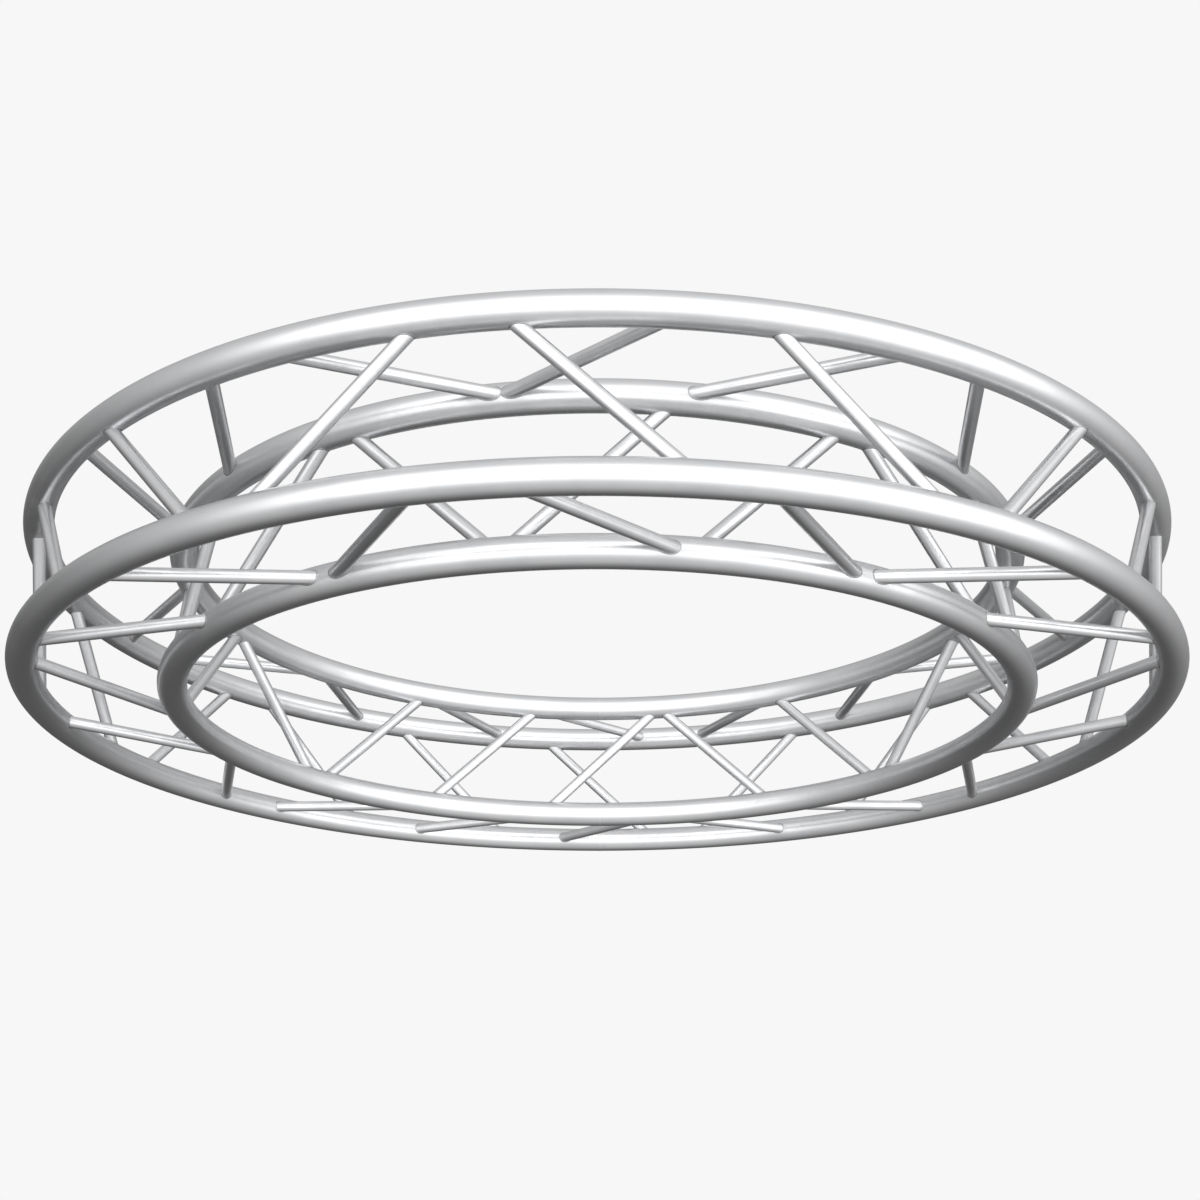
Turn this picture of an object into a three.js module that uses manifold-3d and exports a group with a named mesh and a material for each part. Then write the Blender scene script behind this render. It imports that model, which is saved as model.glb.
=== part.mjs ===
// Round box-truss ring in aluminium tube, used as a large hanging wreath frame.
//
// Four chord tubes are rolled to full circles and stand at the corners of a square
// section. Straight diagonal braces join them on the outer, top, inner and bottom faces.
// Millimetres, +Z up, ring axis on Z, and the undersides of the lower chords at Z = 0.

import * as THREE from 'three';
import { mergeVertices } from 'three/addons/utils/BufferGeometryUtils.js';
import Module from 'manifold-3d';

const wasm = await Module();
wasm.setup();

// ---- driving dimensions -------------------------------------------------------------

const OUTER_RADIUS = 975; // centreline of the outer chords
const SECTION = 240; // chord centre to chord centre, across and up the section
const CHORD_DIAMETER = 50;
const BRACE_DIAMETER = 21;
const WALL = 2; // wall of every tube
const CHORD_SIDES = 12; // flats round a chord, with flats facing up, down, in and out
const RING_STEPS = 40; // straight steps round a chord
const BRACES_PER_FACE = 18;
const BACK_BRACE = 10; // number of the brace that crosses the back
const BRACE_SIDES = 8;
const BORE_SIDES = 6; // of a brace
const BUTT_GAP = 0.6; // where a rolled chord's two ends meet
const BUTT_STATION = 180; // degrees
const FIT_GAP = 0.35; // between a brace's coped end and its chord
const WELD_WIDTH = 8; // of the weld run that joins a pair's toes
const WELD_HEIGHT = 3.2; // of that run, off the chord
const WELD_BITE = 9; // how far the run goes into each leg
const MERGE_DISTANCE = 1e-4; // corners closer than this are one corner

const INNER_RADIUS = OUTER_RADIUS - SECTION;
const CHORD_RADIUS = CHORD_DIAMETER / 2;
const BRACE_RADIUS = BRACE_DIAMETER / 2;
const LOWER_Z = CHORD_RADIUS;
const UPPER_Z = LOWER_Z + SECTION;

const CHORDS = {
  outer_upper: { radius: OUTER_RADIUS, height: UPPER_Z },
  outer_lower: { radius: OUTER_RADIUS, height: LOWER_Z },
  inner_upper: { radius: INNER_RADIUS, height: UPPER_Z },
  inner_lower: { radius: INNER_RADIUS, height: LOWER_Z },
};

// Braces of each face, as stations in degrees round the ring from -Y towards +X: the end
// on the first chord, then the end on the second. Brace 1 crosses the front (-Y) and
// brace 10 the back; 2 to 9 run down the right side, and 18 to 11 mirror them on the left.
// Legs listed in pairs or mirrored_pairs share a weld run and are one piece.
const FACES = {
  outer: {
    chords: ['outer_upper', 'outer_lower'],
    front: [-7.1, 7.8],
    side: [
      [13.3, 28.4], [47.7, 33.2], [66.3, 52.8], [72, 87],
      [92.9, 107.1], [126.7, 112.4], [131.7, 146.4], [151.7, 166.9],
    ],
    back: [187.8, 172.8],
    mirrored_pairs: [],
    pairs: [],
  },
  top: {
    chords: ['outer_upper', 'inner_upper'],
    front: [6.9, -11.6],
    side: [
      [27.3, 8.5], [33.1, 51.2], [52.9, 71.4], [88, 72],
      [107, 88.7], [112.7, 131.1], [146.3, 128.2], [166.5, 148.2],
    ],
    back: [173.4, 192.3],
    mirrored_pairs: [[4, 5], [7, 8]],
    pairs: [[1, 18]],
  },
  inner: {
    chords: ['inner_upper', 'inner_lower'],
    front: [9.4, -10.2],
    side: [
      [30.1, 10.6], [32.1, 53.5], [53.5, 72], [88.5, 72.5],
      [108.3, 88.1], [107.1, 128.3], [149.3, 129.7], [169.8, 150.2],
    ],
    back: [169.4, 189.4],
    mirrored_pairs: [[2, 3], [4, 5], [6, 7]],
    pairs: [[9, 10]],
  },
  bottom: {
    chords: ['outer_lower', 'inner_lower'],
    front: [-6.8, 10.2],
    side: [
      [13.2, 31.2], [47.6, 29.9], [67.3, 49.5], [72.1, 91.2],
      [91.9, 111.3], [126.7, 108.7], [133.1, 152.2], [153.9, 171.8],
    ],
    back: [185.9, 169],
    mirrored_pairs: [[2, 3], [6, 7]],
    pairs: [[9, 10]],
  },
};

// ---- materials ----------------------------------------------------------------------

const CHORD_FINISH = { color: 0xc9cacb, metalness: 0.9, roughness: 0.38 };
const BRACE_FINISH = { color: 0xc2c3c5, metalness: 0.9, roughness: 0.42 };

// ---- solids -------------------------------------------------------------------------

/** Turns a closed three.js geometry into a manifold solid. */
function toSolid(geometry) {
  geometry.deleteAttribute('normal');
  geometry.deleteAttribute('uv');
  const merged = mergeVertices(geometry, MERGE_DISTANCE);
  return new wasm.Manifold(
    new wasm.Mesh({
      numProp: 3,
      vertProperties: new Float32Array(merged.attributes.position.array),
      triVerts: new Uint32Array(merged.index.array),
    }),
  );
}

/** Turns a manifold solid back into a named three.js mesh. */
function toMesh(name, solid, finish) {
  const { vertProperties, triVerts } = solid.getMesh();
  const geometry = new THREE.BufferGeometry();
  geometry.setAttribute('position', new THREE.BufferAttribute(new Float32Array(vertProperties), 3));
  geometry.setIndex(new THREE.BufferAttribute(new Uint32Array(triVerts), 1));
  geometry.computeVertexNormals();
  const mesh = new THREE.Mesh(geometry, new THREE.MeshStandardMaterial(finish));
  mesh.name = name;
  return mesh;
}

/** A solid ring swept along a chord, its section a polygon with this distance to its flats. */
function ring({ radius, height }, toFlats) {
  const corner = toFlats / Math.cos(Math.PI / CHORD_SIDES);
  const profile = [];
  for (let i = 0; i <= CHORD_SIDES; i++) {
    const angle = ((i + 0.5) * 2 * Math.PI) / CHORD_SIDES;
    profile.push(new THREE.Vector2(radius + corner * Math.cos(angle), corner * Math.sin(angle)));
  }
  profile[CHORD_SIDES].copy(profile[0]);
  const swept = new THREE.LatheGeometry(profile, RING_STEPS);
  return toSolid(swept.rotateX(Math.PI / 2).translate(0, 0, height));
}

/** The point at a station on a chord's centreline. */
function onChord({ radius, height }, station) {
  const angle = THREE.MathUtils.degToRad(station);
  return new THREE.Vector3(radius * Math.sin(angle), -radius * Math.cos(angle), height);
}

/** A round bar between two points, with its ends pushed out by extra. */
function bar(start, end, radius, sides, extra = 0) {
  const along = new THREE.Vector3().subVectors(end, start);
  const geometry = new THREE.CylinderGeometry(radius, radius, along.length() + 2 * extra, sides, 1);
  const upright = new THREE.Vector3(0, 1, 0);
  const turn = new THREE.Quaternion().setFromUnitVectors(upright, along.clone().normalize());
  const middle = new THREE.Vector3().addVectors(start, end).multiplyScalar(0.5);
  return toSolid(geometry.applyQuaternion(turn).translate(middle.x, middle.y, middle.z));
}

/** A rolled chord: a hollow ring with a narrow gap where its two ends are butted. */
function chordTube(chord) {
  const gap = new THREE.BoxGeometry(BUTT_GAP, 2 * CHORD_DIAMETER, 2 * CHORD_DIAMETER);
  const centre = onChord(chord, BUTT_STATION);
  return ring(chord, CHORD_RADIUS)
    .subtract(ring(chord, CHORD_RADIUS - WALL))
    .subtract(toSolid(gap.translate(centre.x, centre.y, centre.z)));
}

/** The weld run on a chord that joins the toes of two legs. */
function weldRun(chord, legs, atFirst) {
  const ends = legs.map((leg) => (atFirst ? leg.start : leg.end));
  const others = legs.map((leg) => (atFirst ? leg.end : leg.start));
  const seat = new THREE.Vector3().addVectors(...ends).multiplyScalar(0.5);
  const along = new THREE.Vector3(-seat.y, seat.x, 0).normalize();
  const away = new THREE.Vector3().addVectors(...others).multiplyScalar(0.5).sub(seat);
  away.addScaledVector(along, -away.dot(along));
  if (Math.abs(away.z) > Math.hypot(away.x, away.y)) away.set(0, 0, Math.sign(away.z));
  else away.setZ(0).normalize();
  const across = new THREE.Vector3().crossVectors(along, away);
  const toeOffsets = legs.map((leg, i) => {
    const direction = new THREE.Vector3().subVectors(others[i], ends[i]).normalize();
    const lean = direction.dot(along) / direction.dot(away);
    return ends[i].clone().sub(seat).dot(along) + lean * CHORD_RADIUS;
  });
  const low = Math.min(...toeOffsets) - WELD_BITE / 2;
  const high = Math.max(...toeOffsets) + WELD_BITE / 2;
  const bottom = CHORD_RADIUS - WELD_HEIGHT;
  const top = CHORD_RADIUS + WELD_HEIGHT;
  const box = new THREE.BoxGeometry(high - low, top - bottom, WELD_WIDTH);
  box.translate((low + high) / 2, (top + bottom) / 2, 0);
  box.applyMatrix4(new THREE.Matrix4().makeBasis(along, away, across).setPosition(seat));
  return toSolid(box);
}

/** One brace, or two braces joined by a weld run, coped to fit the two chords. */
function braces(chords, grown, legs) {
  const bars = legs.map((leg) => bar(leg.start, leg.end, BRACE_RADIUS, BRACE_SIDES));
  let metal = bars.reduce((a, b) => a.add(b));
  if (legs.length > 1) {
    const [first, second] = ['start', 'end'].map((end) => legs[0][end].distanceTo(legs[1][end]));
    const atFirst = first < second;
    metal = metal.add(weldRun(atFirst ? chords[0] : chords[1], legs, atFirst));
  }
  for (const leg of legs) {
    metal = metal.subtract(bar(leg.start, leg.end, BRACE_RADIUS - WALL, BORE_SIDES, CHORD_RADIUS));
  }
  return grown.reduce((solid, chord) => solid.subtract(chord), metal);
}

// ---- the object ---------------------------------------------------------------------

/** Every brace of a face by number, as start and end stations. */
function numbered({ front, side, back }) {
  const list = { 1: front, [BACK_BRACE]: back };
  side.forEach(([start, end], i) => {
    list[i + 2] = [start, end];
    list[BRACES_PER_FACE - i] = [-start, -end];
  });
  return list;
}

/** The groups of brace numbers in a face that are one piece each. */
function pieces({ mirrored_pairs, pairs }) {
  const mirrored = mirrored_pairs.map((pair) => pair.map((n) => 2 * BACK_BRACE - n).reverse());
  const joined = [...pairs, ...mirrored_pairs, ...mirrored];
  const taken = new Set(joined.flat());
  const numbers = Array.from({ length: BRACES_PER_FACE }, (_, i) => i + 1);
  const singles = numbers.filter((n) => !taken.has(n)).map((n) => [n]);
  return [...singles, ...joined];
}

const frame = new THREE.Group();

const grownChords = {};
for (const [name, chord] of Object.entries(CHORDS)) {
  grownChords[name] = ring(chord, CHORD_RADIUS + FIT_GAP);
  frame.add(toMesh(`${name}_chord`, chordTube(chord), CHORD_FINISH));
}

for (const [faceName, face] of Object.entries(FACES)) {
  const chords = face.chords.map((name) => CHORDS[name]);
  const grown = face.chords.map((name) => grownChords[name]);
  const stations = numbered(face);
  for (const numbers of pieces(face)) {
    const legs = numbers.map((n) => ({
      start: onChord(chords[0], stations[n][0]),
      end: onChord(chords[1], stations[n][1]),
    }));
    const label = numbers.map((n) => String(n).padStart(2, '0')).join('_');
    frame.add(toMesh(`${faceName}_brace_${label}`, braces(chords, grown, legs), BRACE_FINISH));
  }
}

export default frame;
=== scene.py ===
"""A round box-truss ring in aluminium tube, hung as a large wreath frame over a pale floor.

Four rolled chord tubes stand at the corners of a square section, and straight diagonal
braces are welded between them on the outer, top, inner and bottom faces. Sizes in metres.
"""

import logging
import math
from dataclasses import dataclass, field
from enum import Enum
from typing import NamedTuple

import bpy
import numpy as np
from mathutils import Matrix, Vector


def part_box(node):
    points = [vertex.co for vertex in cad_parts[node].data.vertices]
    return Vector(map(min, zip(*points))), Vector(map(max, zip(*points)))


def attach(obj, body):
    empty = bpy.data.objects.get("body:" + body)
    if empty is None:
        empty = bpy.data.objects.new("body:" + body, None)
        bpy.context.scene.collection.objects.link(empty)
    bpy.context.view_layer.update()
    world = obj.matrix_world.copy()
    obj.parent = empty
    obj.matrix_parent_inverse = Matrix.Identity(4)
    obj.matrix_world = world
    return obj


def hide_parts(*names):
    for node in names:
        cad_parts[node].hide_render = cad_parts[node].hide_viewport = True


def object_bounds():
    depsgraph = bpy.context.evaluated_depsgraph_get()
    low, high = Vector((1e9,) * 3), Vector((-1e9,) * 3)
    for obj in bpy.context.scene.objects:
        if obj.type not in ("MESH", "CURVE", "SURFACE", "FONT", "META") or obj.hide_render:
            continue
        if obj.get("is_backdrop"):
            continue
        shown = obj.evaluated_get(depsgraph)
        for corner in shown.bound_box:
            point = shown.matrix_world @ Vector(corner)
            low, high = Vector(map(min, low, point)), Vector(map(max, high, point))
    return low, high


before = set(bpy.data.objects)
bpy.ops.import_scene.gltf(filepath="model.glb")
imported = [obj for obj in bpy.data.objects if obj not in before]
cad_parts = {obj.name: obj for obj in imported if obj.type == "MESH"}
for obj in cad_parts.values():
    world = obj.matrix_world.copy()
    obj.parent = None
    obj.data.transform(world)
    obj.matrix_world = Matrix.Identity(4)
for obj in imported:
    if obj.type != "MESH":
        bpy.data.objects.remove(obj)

LOG = logging.getLogger("wreath_frame")
BODY = "root"
MM = 0.001
FULL_TURN = 2 * math.pi
RUN = "tube_run"  # mesh attribute: metres along the tube, then across its section
HEAT = "weld_heat"  # mesh attribute: 1 beside a weld, fading to 0


class Face(Enum):
    """The four sides of the ring's square section."""

    OUTER = "outer"
    TOP = "top"
    INNER = "inner"
    BOTTOM = "bottom"


class Chord(Enum):
    """The four rolled tubes, by the name of their frame node."""

    OUTER_UPPER = "outer_upper_chord"
    OUTER_LOWER = "outer_lower_chord"
    INNER_UPPER = "inner_upper_chord"
    INNER_LOWER = "inner_lower_chord"


# ---- the plan of the braces ---------------------------------------------------------------


@dataclass(frozen=True)
class FacePlan:
    """How the braces of one face are set out, as stations in degrees round the ring.

    Brace 1 crosses the front and brace 10 the back. Braces 2 to 9 run down the right side
    and 18 to 11 mirror them on the left. Each pair of numbers is the station on the first
    chord, then on the second. Joined legs share a frame node.
    """

    chords: tuple[Chord, Chord]
    front: tuple[float, float]
    side: tuple[tuple[float, float], ...]
    back: tuple[float, float]
    mirrored_pairs: tuple[tuple[int, int], ...] = ()
    pairs: tuple[tuple[int, int], ...] = ()

    def stations(self) -> dict[int, tuple[float, float]]:
        """Number every brace of the face.

        Returns:
            The two stations of each brace, by its number from 1 to 18.
        """
        numbered = {1: self.front, 10: self.back}
        for i, (first, second) in enumerate(self.side):
            numbered[i + 2] = (first, second)
            numbered[18 - i] = (-first, -second)
        return numbered

    def pieces(self) -> list[tuple[int, ...]]:
        """Group the brace numbers as the frame does.

        Returns:
            One tuple of brace numbers for each piece.
        """
        mirrored = tuple((20 - b, 20 - a) for a, b in self.mirrored_pairs)
        joined = self.pairs + self.mirrored_pairs + mirrored
        taken = {number for pair in joined for number in pair}
        singles = [(number,) for number in range(1, 19) if number not in taken]
        return singles + list(joined)


PLANS = {
    Face.OUTER: FacePlan(
        chords=(Chord.OUTER_UPPER, Chord.OUTER_LOWER),
        front=(-7.1, 7.8),
        side=(
            (13.3, 28.4), (47.7, 33.2), (66.3, 52.8), (72, 87),
            (92.9, 107.1), (126.7, 112.4), (131.7, 146.4), (151.7, 166.9),
        ),
        back=(187.8, 172.8),
    ),
    Face.TOP: FacePlan(
        chords=(Chord.OUTER_UPPER, Chord.INNER_UPPER),
        front=(6.9, -11.6),
        side=(
            (27.3, 8.5), (33.1, 51.2), (52.9, 71.4), (88, 72),
            (107, 88.7), (112.7, 131.1), (146.3, 128.2), (166.5, 148.2),
        ),
        back=(173.4, 192.3),
        mirrored_pairs=((4, 5), (7, 8)),
        pairs=((1, 18),),
    ),
    Face.INNER: FacePlan(
        chords=(Chord.INNER_UPPER, Chord.INNER_LOWER),
        front=(9.4, -10.2),
        side=(
            (30.1, 10.6), (32.1, 53.5), (53.5, 72), (88.5, 72.5),
            (108.3, 88.1), (107.1, 128.3), (149.3, 129.7), (169.8, 150.2),
        ),
        back=(169.4, 189.4),
        mirrored_pairs=((2, 3), (4, 5), (6, 7)),
        pairs=((9, 10),),
    ),
    Face.BOTTOM: FacePlan(
        chords=(Chord.OUTER_LOWER, Chord.INNER_LOWER),
        front=(-6.8, 10.2),
        side=(
            (13.2, 31.2), (47.6, 29.9), (67.3, 49.5), (72.1, 91.2),
            (91.9, 111.3), (126.7, 108.7), (133.1, 152.2), (153.9, 171.8),
        ),
        back=(185.9, 169),
        mirrored_pairs=((2, 3), (6, 7)),
        pairs=((9, 10),),
    ),
}


# ---- shapes -------------------------------------------------------------------------------


@dataclass(frozen=True)
class Circle:
    """The centreline of a rolled chord."""

    radius: float
    height: float
    tube: float

    @classmethod
    def from_frame(cls, chord: Chord) -> "Circle":
        """Measure a chord's centreline and tube from its frame node.

        Args:
            chord: The chord to measure.

        Returns:
            Its circle.
        """
        low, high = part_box(chord.value)
        tube = (high.z - low.z) / 2
        return cls(radius=(high.x - low.x) / 2 - tube, height=(high.z + low.z) / 2, tube=tube)

    def at(self, station: float) -> np.ndarray:
        """Return the point on the centreline at a station in degrees."""
        angle = math.radians(station)
        return np.array([self.radius * math.sin(angle), -self.radius * math.cos(angle), self.height])

    def clearance(self, points: np.ndarray) -> np.ndarray:
        """Return each point's distance outside the tube's surface, negative inside it."""
        across = np.hypot(points[..., 0], points[..., 1]) - self.radius
        return np.hypot(across, points[..., 2] - self.height) - self.tube

    def normals(self, points: np.ndarray) -> np.ndarray:
        """Return the tube's outward direction at each point."""
        flat = np.hypot(points[..., 0], points[..., 1])
        scale = self.radius / flat
        level = np.full_like(flat, self.height)
        centres = np.stack([points[..., 0] * scale, points[..., 1] * scale, level], -1)
        return unit(points - centres)


def unit(vectors: np.ndarray) -> np.ndarray:
    """Return the vectors at length 1."""
    return vectors / np.linalg.norm(vectors, axis=-1, keepdims=True)


@dataclass
class Grid:
    """A mesh of four-sided faces over rows and columns of points."""

    points: np.ndarray
    runs: np.ndarray
    close_rows: bool
    close_columns: bool = True
    heat: np.ndarray | None = None

    def heat_values(self) -> np.ndarray:
        """Return the weld heat at each point, zero where the grid has none."""
        return np.zeros(self.points.shape[:2]) if self.heat is None else self.heat

    def faces(self, offset: int = 0) -> list[tuple[int, int, int, int]]:
        """List the faces.

        Args:
            offset: The number of points already in the mesh.

        Returns:
            The corner numbers of each face.
        """
        rows, columns = self.points.shape[:2]
        listed = []
        for i in range(rows if self.close_rows else rows - 1):
            for j in range(columns if self.close_columns else columns - 1):
                below, right = (i + 1) % rows, (j + 1) % columns
                corners = (i * columns + j, below * columns + j, below * columns + right, i * columns + right)
                listed.append(tuple(offset + c for c in corners))
        return listed


def make_object(name: str, grids: list[Grid], material: bpy.types.Material) -> bpy.types.Object:
    """Build one smooth-shaded object from grids.

    Args:
        name: The object's name.
        grids: Its surfaces.
        material: Its finish.

    Returns:
        The object, linked to the scene.
    """
    points = np.concatenate([g.points.reshape(-1, 3) for g in grids])
    runs = np.concatenate([g.runs.reshape(-1, 3) for g in grids])
    heat = np.concatenate([g.heat_values().ravel() for g in grids])
    faces, offset = [], 0
    for grid in grids:
        faces += grid.faces(offset)
        offset += grid.points.shape[0] * grid.points.shape[1]
    mesh = bpy.data.meshes.new(name)
    mesh.from_pydata(points.tolist(), [], faces)
    run_data = mesh.attributes.new(RUN, "FLOAT_VECTOR", "POINT").data
    run_data.foreach_set("vector", runs.astype(np.float32).ravel())
    heat_data = mesh.attributes.new(HEAT, "FLOAT", "POINT").data
    heat_data.foreach_set("value", heat.astype(np.float32))
    mesh.polygons.foreach_set("use_smooth", [True] * len(mesh.polygons))
    mesh.materials.append(material)
    mesh.update()
    made = bpy.data.objects.new(name, mesh)
    bpy.context.scene.collection.objects.link(made)
    return made


# ---- finishes -----------------------------------------------------------------------------


class Ramp(NamedTuple):
    """How a value is carried from one range to another."""

    low: float
    high: float
    at_low: float
    at_high: float


class NodeTree:
    """Small helper that adds and links shader nodes."""

    def __init__(self, owner: bpy.types.Material | bpy.types.World) -> None:
        """Start an empty node tree.

        Args:
            owner: The material or world that holds it.
        """
        owner.use_nodes = True
        self.tree = owner.node_tree
        self.tree.nodes.clear()

    def add(self, kind: str, inputs: dict | None = None, **settings: object) -> bpy.types.Node:
        """Add a node.

        Args:
            kind: The node's type name.
            inputs: Socket values or links, by socket name or number.
            **settings: The node's own properties.

        Returns:
            The node.
        """
        node = self.tree.nodes.new(kind)
        for name, value in settings.items():
            setattr(node, name, value)
        for socket, value in (inputs or {}).items():
            if isinstance(value, bpy.types.NodeSocket):
                self.tree.links.new(value, node.inputs[socket])
            else:
                node.inputs[socket].default_value = value
        return node

    def math(self, operation: str, first: object, second: object = 0.0) -> bpy.types.NodeSocket:
        """Return the result of a maths node on two numbers or links."""
        return self.add("ShaderNodeMath", {0: first, 1: second}, operation=operation).outputs[0]

    def remap(self, value: object, ramp: Ramp) -> bpy.types.NodeSocket:
        """Return a value carried smoothly along a ramp."""
        ends = {"From Min": ramp.low, "From Max": ramp.high, "To Min": ramp.at_low, "To Max": ramp.at_high}
        node = self.add("ShaderNodeMapRange", {"Value": value, **ends}, interpolation_type="SMOOTHSTEP")
        return node.outputs["Result"]

    def blend(self, share: object, first: object, second: object) -> bpy.types.NodeSocket:
        """Return two colours mixed by a share from 0 to 1."""
        return self.add("ShaderNodeMix", {0: share, 6: first, 7: second}, data_type="RGBA").outputs[2]

    def noise(
        self, vector: object, scale: float, detail: float, roughness: float = 0.5
    ) -> bpy.types.NodeSocket:
        """Return a noise texture's value."""
        inputs = {"Vector": vector, "Scale": scale, "Detail": detail, "Roughness": roughness}
        return self.add("ShaderNodeTexNoise", inputs).outputs[0]


@dataclass(frozen=True)
class DrawnAluminium:
    """Satin drawn tube: fine lines along the tube, faint handling marks and weld tint."""

    name: str
    light: tuple[float, float, float] = (0.80, 0.805, 0.815)
    dark: tuple[float, float, float] = (0.74, 0.747, 0.76)
    tint: tuple[float, float, float] = (0.60, 0.595, 0.58)
    smooth: float = 0.33
    worn: float = 0.38
    line_pitch: float = 0.0009
    line_length: float = 0.35
    line_depth: float = 0.000012
    line_relief: float = 0.35
    mark_size: float = 0.09
    scuff_scale: float = 60.0
    smudge: Ramp = Ramp(0.38, 0.66, 0.0, 1.0)
    scuff: Ramp = Ramp(0.60, 0.72, 0.0, 1.0)
    line_swing: float = 0.03
    scuff_roughness: float = 0.06
    heat_roughness: float = 0.10
    heat_colour: float = 0.25

    def make(self) -> bpy.types.Material:
        """Build the material.

        Returns:
            The material.
        """
        material = bpy.data.materials.new(self.name)
        nodes = NodeTree(material)
        run = nodes.add("ShaderNodeAttribute", attribute_name=RUN).outputs["Vector"]
        heat = nodes.add("ShaderNodeAttribute", attribute_name=HEAT).outputs["Fac"]
        stretch = (1 / self.line_length, 1 / self.line_pitch, 1 / self.line_pitch)
        along = nodes.add("ShaderNodeVectorMath", {0: run, 1: stretch}, operation="MULTIPLY").outputs[0]
        lines = nodes.noise(along, 1.0, 3.0, 0.6)
        marks = nodes.noise(run, 1 / self.mark_size, 5.0, 0.62)
        smudges = nodes.remap(marks, self.smudge)
        scuffs = nodes.remap(nodes.noise(run, self.scuff_scale, 8.0, 0.75), self.scuff)
        metal = nodes.blend(smudges, (*self.light, 1), (*self.dark, 1))
        warmed = nodes.blend(nodes.math("MULTIPLY", heat, self.heat_colour), metal, (*self.tint, 1))
        swing = Ramp(0.25, 0.75, self.smooth - self.line_swing, self.smooth + self.line_swing)
        rough = nodes.remap(lines, swing)
        rough = nodes.math("ADD", rough, nodes.math("MULTIPLY", smudges, self.worn - self.smooth))
        rough = nodes.math("ADD", rough, nodes.math("MULTIPLY", scuffs, self.scuff_roughness))
        rough = nodes.math("ADD", rough, nodes.math("MULTIPLY", heat, self.heat_roughness))
        relief = nodes.math("SUBTRACT", lines, nodes.math("MULTIPLY", scuffs, 0.6))
        grooves = {"Strength": self.line_relief, "Distance": self.line_depth, "Height": relief}
        bump = nodes.add("ShaderNodeBump", grooves)
        shader = nodes.add(
            "ShaderNodeBsdfPrincipled",
            {
                "Base Color": warmed,
                "Metallic": 1.0,
                "Roughness": rough,
                "Normal": bump.outputs[0],
            },
        )
        nodes.add("ShaderNodeOutputMaterial", {"Surface": shader.outputs[0]})
        return material


@dataclass(frozen=True)
class WeldMetal:
    """Rippled weld metal, a little rougher than the tube, with a grey bloom; its default grey is darkened
    below the tube's as painted contact shade at the brace ends.
    """

    name: str
    # Default weld grey, darker than the tube: partly weld metal, partly painted contact shade where the
    # braces meet the chords.
    bright: tuple[float, float, float] = (0.45, 0.455, 0.465)
    bloom: tuple[float, float, float] = (0.36, 0.365, 0.375)
    roughness: float = 0.36
    grain: float = 0.0022
    grain_relief: float = 0.4
    grain_depth: float = 0.00008
    bloom_scale: float = 70.0
    bloom_spread: Ramp = Ramp(0.42, 0.68, 0.0, 0.7)

    def make(self) -> bpy.types.Material:
        """Build the material.

        Returns:
            The material.
        """
        material = bpy.data.materials.new(self.name)
        nodes = NodeTree(material)
        place = nodes.add("ShaderNodeTexCoord").outputs["Object"]
        grain = nodes.noise(place, 1 / self.grain, 4.0, 0.6)
        bloom = nodes.remap(nodes.noise(place, self.bloom_scale, 3.0), self.bloom_spread)
        colour = nodes.blend(bloom, (*self.bright, 1), (*self.bloom, 1))
        rough = nodes.remap(grain, Ramp(0.3, 0.7, self.roughness - 0.05, self.roughness + 0.10))
        bump = nodes.add(
            "ShaderNodeBump", {"Strength": self.grain_relief, "Distance": self.grain_depth, "Height": grain}
        )
        shader = nodes.add(
            "ShaderNodeBsdfPrincipled",
            {"Base Color": colour, "Metallic": 1.0, "Roughness": rough, "Normal": bump.outputs[0]},
        )
        nodes.add("ShaderNodeOutputMaterial", {"Surface": shader.outputs[0]})
        return material


# ---- sub-assemblies -----------------------------------------------------------------------


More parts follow.
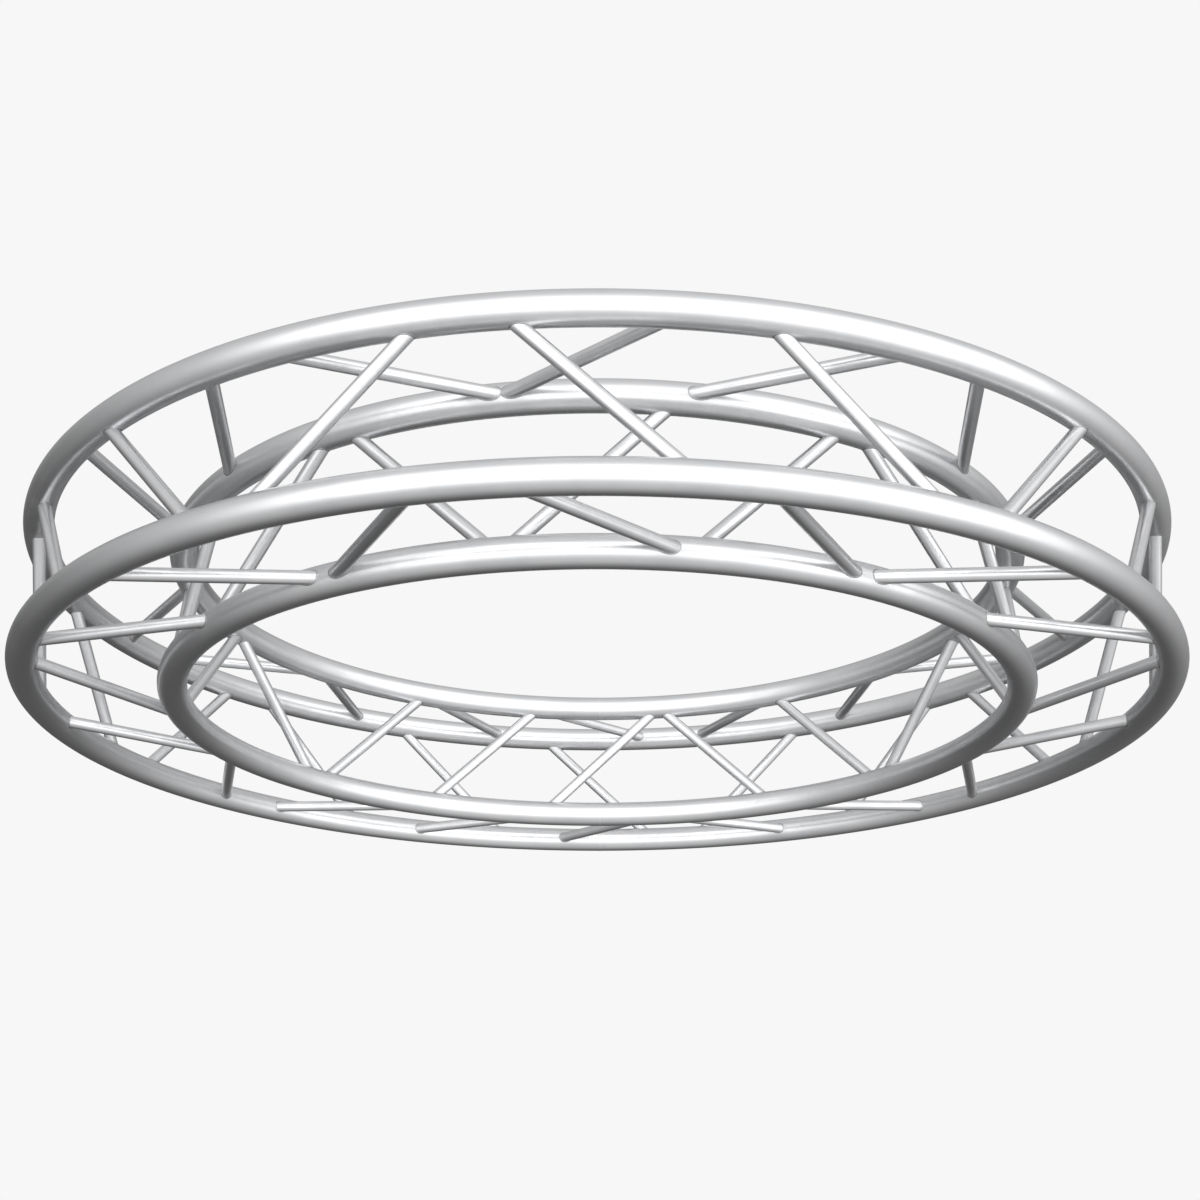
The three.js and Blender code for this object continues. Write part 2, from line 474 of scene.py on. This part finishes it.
@dataclass
class Leg:
    """One straight brace tube, coped to the two chords it joins."""

    chords: tuple[Circle, Circle]
    stations: tuple[float, float]
    radius: float
    around: int = 40
    steps: int = 14
    bead: float = 1.2 * MM
    bead_samples: int = 132
    bead_ripples: int = 22
    heat_reach: float = 22 * MM
    start: np.ndarray = field(init=False)
    end: np.ndarray = field(init=False)

    def __post_init__(self) -> None:
        """Place the two ends on the chords' centrelines."""
        self.start = self.chords[0].at(self.stations[0])
        self.end = self.chords[1].at(self.stations[1])

    def axes(self, origin: np.ndarray, target: np.ndarray) -> tuple[np.ndarray, np.ndarray, np.ndarray]:
        """Return the leg's direction from origin to target, and two directions across it."""
        along = unit(target - origin)
        across = unit(np.cross(along, [0.0, 0.0, 1.0]))
        return along, across, np.cross(along, across)

    def cope(
        self, chord: Circle, origin: np.ndarray, target: np.ndarray, samples: int
    ) -> tuple[np.ndarray, np.ndarray]:
        """Find where the tube's wall meets a chord.

        Args:
            chord: The chord that the tube runs into.
            origin: The leg's end on that chord's centreline.
            target: The leg's other end.
            samples: How many points to find round the tube.

        Returns:
            The points of the seam, and the tube's outward direction at each.
        """
        along, across, third = self.axes(origin, target)
        angles = np.arange(samples) * FULL_TURN / samples
        outward = np.outer(np.cos(angles), across) + np.outer(np.sin(angles), third)
        low = np.zeros(samples)
        high = np.full(samples, 3 * chord.tube)
        for _ in range(40):
            middle = (low + high) / 2
            inside = chord.clearance(origin + outward * self.radius + middle[:, None] * along) < 0
            low, high = np.where(inside, middle, low), np.where(inside, high, middle)
        return origin + outward * self.radius + low[:, None] * along, outward

    def tube(self) -> Grid:
        """Build the tube's wall, from cope to cope.

        Returns:
            The wall as a grid.
        """
        first, outward = self.cope(self.chords[0], self.start, self.end, self.around)
        back, back_outward = self.cope(self.chords[1], self.end, self.start, self.around)
        nearest = np.argmin(np.linalg.norm(outward[:, None] - back_outward[None], axis=-1), axis=1)
        second = back[nearest]
        along = unit(self.end - self.start)
        shares = self.crowded_shares()
        points = first[None] + (second - first)[None] * shares[:, None, None]
        lengths = (points - self.start) @ along
        section = [np.broadcast_to(outward[:, k] * self.radius, lengths.shape) for k in (0, 1)]
        runs = np.stack([lengths, *section], -1)
        ends = np.minimum((points - first[None]) @ along, (second[None] - points) @ along)
        heat = np.clip(1 - ends / self.heat_reach, 0, 1) ** 2
        return Grid(points, runs + self.stations[0], close_rows=False, heat=heat)

    def crowded_shares(self) -> np.ndarray:
        """Return the steps along the leg, as shares of its length, closer together at its ends."""
        even = np.linspace(0, 1, self.steps + 1)
        return even - 0.12 * np.sin(2 * FULL_TURN * even / 2)

    def beads(self) -> list[Grid]:
        """Build the rippled weld fillet at each end.

        Returns:
            Two grids.
        """
        ends = ((self.chords[0], self.start, self.end), (self.chords[1], self.end, self.start))
        return [self.fillet(chord, origin, target) for chord, origin, target in ends]

    def fillet(self, chord: Circle, origin: np.ndarray, target: np.ndarray) -> Grid:
        """Sweep a convex fillet round one coped end.

        Args:
            chord: The chord welded to.
            origin: The leg's end on that chord's centreline.
            target: The leg's other end.

        Returns:
            The fillet as a closed grid.
        """
        seam, outward = self.cope(chord, origin, target, self.bead_samples)
        along = unit(target - origin)
        normal = chord.normals(seam)
        spread = unit(outward - np.sum(outward * normal, -1, keepdims=True) * normal)
        phase = np.arange(self.bead_samples) * self.bead_ripples / self.bead_samples
        swell = 1 + 0.10 * np.abs(np.sin(math.pi * phase))
        turns = np.radians([-25, 0, 22, 45, 68, 90, 115])
        rim = [np.cos(t) * along[None] + np.sin(t) * spread for t in turns]
        radii = np.array([0.9, 1.0, 0.93, 0.9, 0.93, 1.0, 0.9]) * self.bead
        rows = [seam + direction * (radius * swell)[:, None] for direction, radius in zip(rim, radii)]
        rows.append(seam - (outward + normal) * self.bead * 0.35)
        points = np.stack(rows, 1)
        return Grid(points, points * 1.0, close_rows=True)


@dataclass
class BracedFace:
    """All the braces of one face and the welds at their ends."""

    face: Face
    circles: dict[Chord, Circle]
    brace_radius: float

    def legs(self) -> dict[int, Leg]:
        """Return every leg of the face, by its brace number."""
        plan = PLANS[self.face]
        chords = (self.circles[plan.chords[0]], self.circles[plan.chords[1]])
        return {number: Leg(chords, pair, self.brace_radius) for number, pair in plan.stations().items()}

    def build(self, tube: bpy.types.Material, weld: bpy.types.Material) -> list[bpy.types.Object]:
        """Build the face's braces and welds.

        Args:
            tube: The finish of the tubes.
            weld: The finish of the welds, darkened as painted contact shade at the brace ends.

        Returns:
            The pieces.
        """
        legs = self.legs()
        made = []
        for numbers in PLANS[self.face].pieces():
            label = "_".join(f"{number:02d}" for number in numbers)
            node = f"{self.face.value}_brace_{label}"
            piece = make_object(f"{node}_tube", [legs[number].tube() for number in numbers], tube)
            made.append(self.settle(piece, node))
        beads = [bead for leg in legs.values() for bead in leg.beads()]
        welds = make_object(f"{self.face.value}_face_welds", beads, weld)
        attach(welds, BODY)
        LOG.info("%s: %d weld fillets", welds.name, len(beads))
        return [*made, welds]

    def settle(self, piece: bpy.types.Object, node: str) -> bpy.types.Object:
        """Put a brace in place of its frame node.

        Args:
            piece: The finished brace.
            node: The frame node that it stands for.

        Returns:
            The same piece.
        """
        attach(piece, BODY)
        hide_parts(node)
        drift = max(abs(a - b) for a, b in zip(piece_box(piece), (*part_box(node)[0], *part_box(node)[1])))
        count = len(piece.data.polygons)
        LOG.info("%s: %d faces, %.1f mm from its node's box", piece.name, count, drift / MM)
        return piece


@dataclass
class RolledChord:
    """A chord tube rolled to a circle, with a dressed butt weld at the back."""

    chord: Chord
    circle: Circle
    toes: list[np.ndarray]
    around: int = 48
    steps: int = 432
    heat_reach: float = 26 * MM
    butt_station: float = 180.0
    butt_width: float = 7 * MM
    butt_height: float = 0.25 * MM
    butt_ripples: int = 46

    def surface(
        self, stations: np.ndarray, angles: np.ndarray, extra: np.ndarray | float = 0.0
    ) -> np.ndarray:
        """Return points on the tube, for each station and each angle round the section."""
        turn = np.radians(stations)[:, None]
        reach = self.circle.radius + (self.circle.tube + extra) * np.cos(angles)[None]
        height = self.circle.height + (self.circle.tube + extra) * np.sin(angles)[None]
        sideways, forwards = reach * np.sin(turn), -reach * np.cos(turn)
        return np.stack([sideways, forwards, np.broadcast_to(height, sideways.shape)], -1)

    def tube(self) -> Grid:
        """Build the rolled tube.

        Returns:
            The tube as a closed grid, starting at the butt weld.
        """
        stations = self.butt_station + np.arange(self.steps) * 360 / self.steps
        angles = np.arange(self.around) * FULL_TURN / self.around
        turn = np.radians(stations)[:, None]
        points = self.surface(stations, angles)
        lengths = np.broadcast_to(turn * self.circle.radius, points.shape[:2])
        across = [turned(angles)[None] * self.circle.tube for turned in (np.cos, np.sin)]
        section = [np.broadcast_to(distance, points.shape[:2]) for distance in across]
        nearest = np.full(points.shape[:2], 1.0)
        for toe in self.toes:
            gap = np.linalg.norm(points[:, ::4] - toe.mean(0), axis=-1).min(1) < 3 * self.circle.tube
            for i in np.flatnonzero(gap):
                near = np.linalg.norm(points[i][:, None] - toe[None], axis=-1).min(1)
                nearest[i] = np.minimum(nearest[i], near)
        heat = np.clip(1 - nearest / self.heat_reach, 0, 1) ** 2
        return Grid(points, np.stack([lengths, *section], -1), close_rows=True, heat=heat)

    def butt_weld(self) -> Grid:
        """Build the low rippled bead over the joint in the tube.

        Returns:
            The bead as a closed grid.
        """
        samples = self.butt_ripples * 6
        angles = np.arange(samples) * FULL_TURN / samples
        ripple = 1 + 0.18 * np.abs(np.sin(angles * self.butt_ripples / 2))
        half = math.degrees(self.butt_width / 2 / self.circle.radius)
        offsets = np.array([-1.0, -0.8, -0.4, 0.0, 0.4, 0.8, 1.0])
        rises = np.array([-0.6, 0.35, 0.85, 1.0, 0.85, 0.35, -0.6]) * self.butt_height
        rows = [
            self.surface(np.array([self.butt_station + half * offset]), angles, rise * ripple)[0]
            for offset, rise in zip(offsets, rises)
        ]
        points = np.stack(rows, 1)
        return Grid(points, points * 1.0, close_rows=True)

    def build(self, tube: bpy.types.Material, weld: bpy.types.Material) -> list[bpy.types.Object]:
        """Build the chord and its butt weld.

        Args:
            tube: The finish of the tube.
            weld: The finish of the weld.

        Returns:
            The pieces.
        """
        piece = make_object(f"{self.chord.value}_tube", [self.tube()], tube)
        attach(piece, BODY)
        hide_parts(self.chord.value)
        bead = make_object(f"{self.chord.value}_butt_weld", [self.butt_weld()], weld)
        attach(bead, BODY)
        LOG.info("%s: %d faces", piece.name, len(piece.data.polygons))
        return [piece, bead]


@dataclass
class WreathFrame:
    """The whole ring: four chords and four braced faces."""

    brace_diameter: float = 21 * MM

    def build(self) -> list[bpy.types.Object]:
        """Build every piece of the ring.

        Returns:
            The pieces.
        """
        circles = {chord: Circle.from_frame(chord) for chord in Chord}
        chord_metal = DrawnAluminium("chord_drawn_aluminium").make()
        brace_metal = DrawnAluminium("brace_drawn_aluminium", line_length=0.25, mark_size=0.06).make()
        # The brace welds use the dark defaults as painted contact shade at the brace ends; the dressed butt
        # welds keep the tube's colour.
        weld_metal_and_painted_shade = WeldMetal("rippled_weld_metal_and_painted_shade").make()
        dressed_metal = WeldMetal(
            "dressed_weld_metal", bright=(0.80, 0.805, 0.815), bloom=(0.76, 0.765, 0.775), roughness=0.34
        ).make()
        faces = [BracedFace(face, circles, self.brace_diameter / 2) for face in Face]
        made = []
        for chord, circle in circles.items():
            rolled = RolledChord(chord, circle, self.toes(chord, faces))
            made += rolled.build(chord_metal, dressed_metal)
        for face in faces:
            made += face.build(brace_metal, weld_metal_and_painted_shade)
        return made

    def toes(self, chord: Chord, faces: list[BracedFace]) -> list[np.ndarray]:
        """Find where braces are welded to a chord.

        Args:
            chord: The chord.
            faces: The braced faces.

        Returns:
            The weld seam of each brace end on the chord.
        """
        found = []
        for braced in faces:
            plan = PLANS[braced.face]
            if chord not in plan.chords:
                continue
            first = plan.chords[0] is chord
            for leg in braced.legs().values():
                origin, target = (leg.start, leg.end) if first else (leg.end, leg.start)
                found.append(leg.cope(leg.chords[0 if first else 1], origin, target, 24)[0])
        return found


# ---- room, light and camera ---------------------------------------------------------------


@dataclass
class Studio:
    """A pale floor under the hanging ring, soft light from the front, and the camera."""

    backdrop: float = 0.930
    light_side: float = 15.0
    fill: Ramp = Ramp(-0.92, 0.22, 0.09, 0.68)
    front: Ramp = Ramp(0.05, 0.66, 0.0, 1.55)
    front_band: Ramp = Ramp(0.30, 0.88, 1.0, 0.08)
    behind: Ramp = Ramp(-0.6, 0.2, 1.0, 0.0)
    sky: Ramp = Ramp(0.1, 0.9, 0.0, 0.28)
    floor_drop: float = 1.60
    floor_half: float = 14.0
    floor_tone: Ramp = Ramp(0.3, 0.7, 0.78, 0.82)
    floor_glow: float = 0.35
    lens: float = 51.28
    sensor: float = 36.0
    camera_place: tuple[float, float, float] = (0.0152, -2.8983, -0.8888)
    yaw: float = -0.21
    pitch: float = 21.263
    roll: float = 0.02

    def world(self) -> None:
        """Light the ring broadly from the front, softly from above and below, and least from behind."""
        world = bpy.data.worlds.new("soft_studio")
        bpy.context.scene.world = world
        nodes = NodeTree(world)
        toward = nodes.add("ShaderNodeTexCoord").outputs["Generated"]
        parts = nodes.add("ShaderNodeSeparateXYZ", {0: toward})
        x, y, z = parts.outputs[0], parts.outputs[1], parts.outputs[2]
        side = math.radians(self.light_side)
        across = nodes.math("MULTIPLY", x, math.sin(side))
        toward_back = nodes.math("MULTIPLY", y, math.cos(side))
        facing = nodes.math("SUBTRACT", across, toward_back)
        fill = nodes.remap(facing, self.fill)
        band = nodes.remap(nodes.math("ABSOLUTE", z), self.front_band)
        front = nodes.math("MULTIPLY", nodes.remap(facing, self.front), band)
        sky = nodes.math("MULTIPLY", nodes.remap(z, self.sky), nodes.remap(facing, self.behind))
        light = nodes.math("ADD", nodes.math("ADD", fill, front), sky)
        seen = nodes.add("ShaderNodeLightPath").outputs["Is Camera Ray"]
        choice = nodes.add("ShaderNodeMix", {0: seen, 2: light, 3: self.backdrop}, data_type="FLOAT")
        level = choice.outputs[0]
        colour = nodes.add("ShaderNodeCombineColor", {0: level, 1: level, 2: level}).outputs[0]
        background = nodes.add("ShaderNodeBackground", {"Color": colour, "Strength": 1.0})
        nodes.add("ShaderNodeOutputWorld", {"Surface": background.outputs[0]})

    def floor(self) -> bpy.types.Object:
        """Lay the floor.

        Returns:
            The floor.
        """
        half, level = self.floor_half, -self.floor_drop
        corners = [(-half, -half, level), (half, -half, level), (half, half, level), (-half, half, level)]
        mesh = bpy.data.meshes.new("pale_floor")
        mesh.from_pydata(corners, [], [(0, 1, 2, 3)])
        material = bpy.data.materials.new("pale_floor_paint")
        nodes = NodeTree(material)
        place = nodes.add("ShaderNodeTexCoord").outputs["Object"]
        mottle = nodes.remap(nodes.noise(place, 3.0, 4.0), self.floor_tone)
        colour = nodes.add("ShaderNodeCombineColor", {0: mottle, 1: mottle, 2: mottle}).outputs[0]
        shader = nodes.add(
            "ShaderNodeBsdfPrincipled",
            {
                "Base Color": colour,
                "Roughness": 0.85,
                "Emission Color": (1, 1, 1, 1),
                "Emission Strength": self.floor_glow,
            },
        )
        nodes.add("ShaderNodeOutputMaterial", {"Surface": shader.outputs[0]})
        mesh.materials.append(material)
        floor = bpy.data.objects.new("pale_floor", mesh)
        bpy.context.scene.collection.objects.link(floor)
        floor.visible_glossy = False
        floor.visible_diffuse = False
        floor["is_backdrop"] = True
        return floor

    def camera(self) -> bpy.types.Object:
        """Set the camera in front of and below the ring, looking up at it.

        Returns:
            The camera.
        """
        data = bpy.data.cameras.new("camera")
        data.lens = self.lens
        data.sensor_width = self.sensor
        data.clip_end = 100.0
        camera = bpy.data.objects.new("camera", data)
        bpy.context.scene.collection.objects.link(camera)
        turn = Matrix.Rotation(-math.radians(self.yaw), 4, "Z")
        tilt = Matrix.Rotation(math.radians(90 + self.pitch), 4, "X")
        bank = Matrix.Rotation(-math.radians(self.roll), 4, "Z")
        camera.matrix_world = Matrix.Translation(Vector(self.camera_place)) @ turn @ tilt @ bank
        bpy.context.scene.camera = camera
        return camera

    def build(self) -> None:
        """Set up the whole studio."""
        self.world()
        self.floor()
        self.camera()
        view = bpy.context.scene.view_settings
        view.view_transform = "Standard"
        view.look = "None"
        view.exposure = 0.0


def piece_box(piece: bpy.types.Object) -> tuple[float, ...]:
    """Return a piece's lowest and highest corners as six numbers."""
    points = np.array([v.co for v in piece.data.vertices])
    return (*points.min(0), *points.max(0))


def main(cad_box: tuple[Vector, Vector]) -> None:
    """Build the ring and its studio.

    Args:
        cad_box: The frame's box, straight after loading; not used.
    """
    logging.basicConfig(level=logging.INFO, format="%(name)s: %(message)s")
    made = WreathFrame().build()
    Studio().build()
    LOG.info("%d pieces", len(made))


if __name__ == "__main__":
    main(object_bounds())
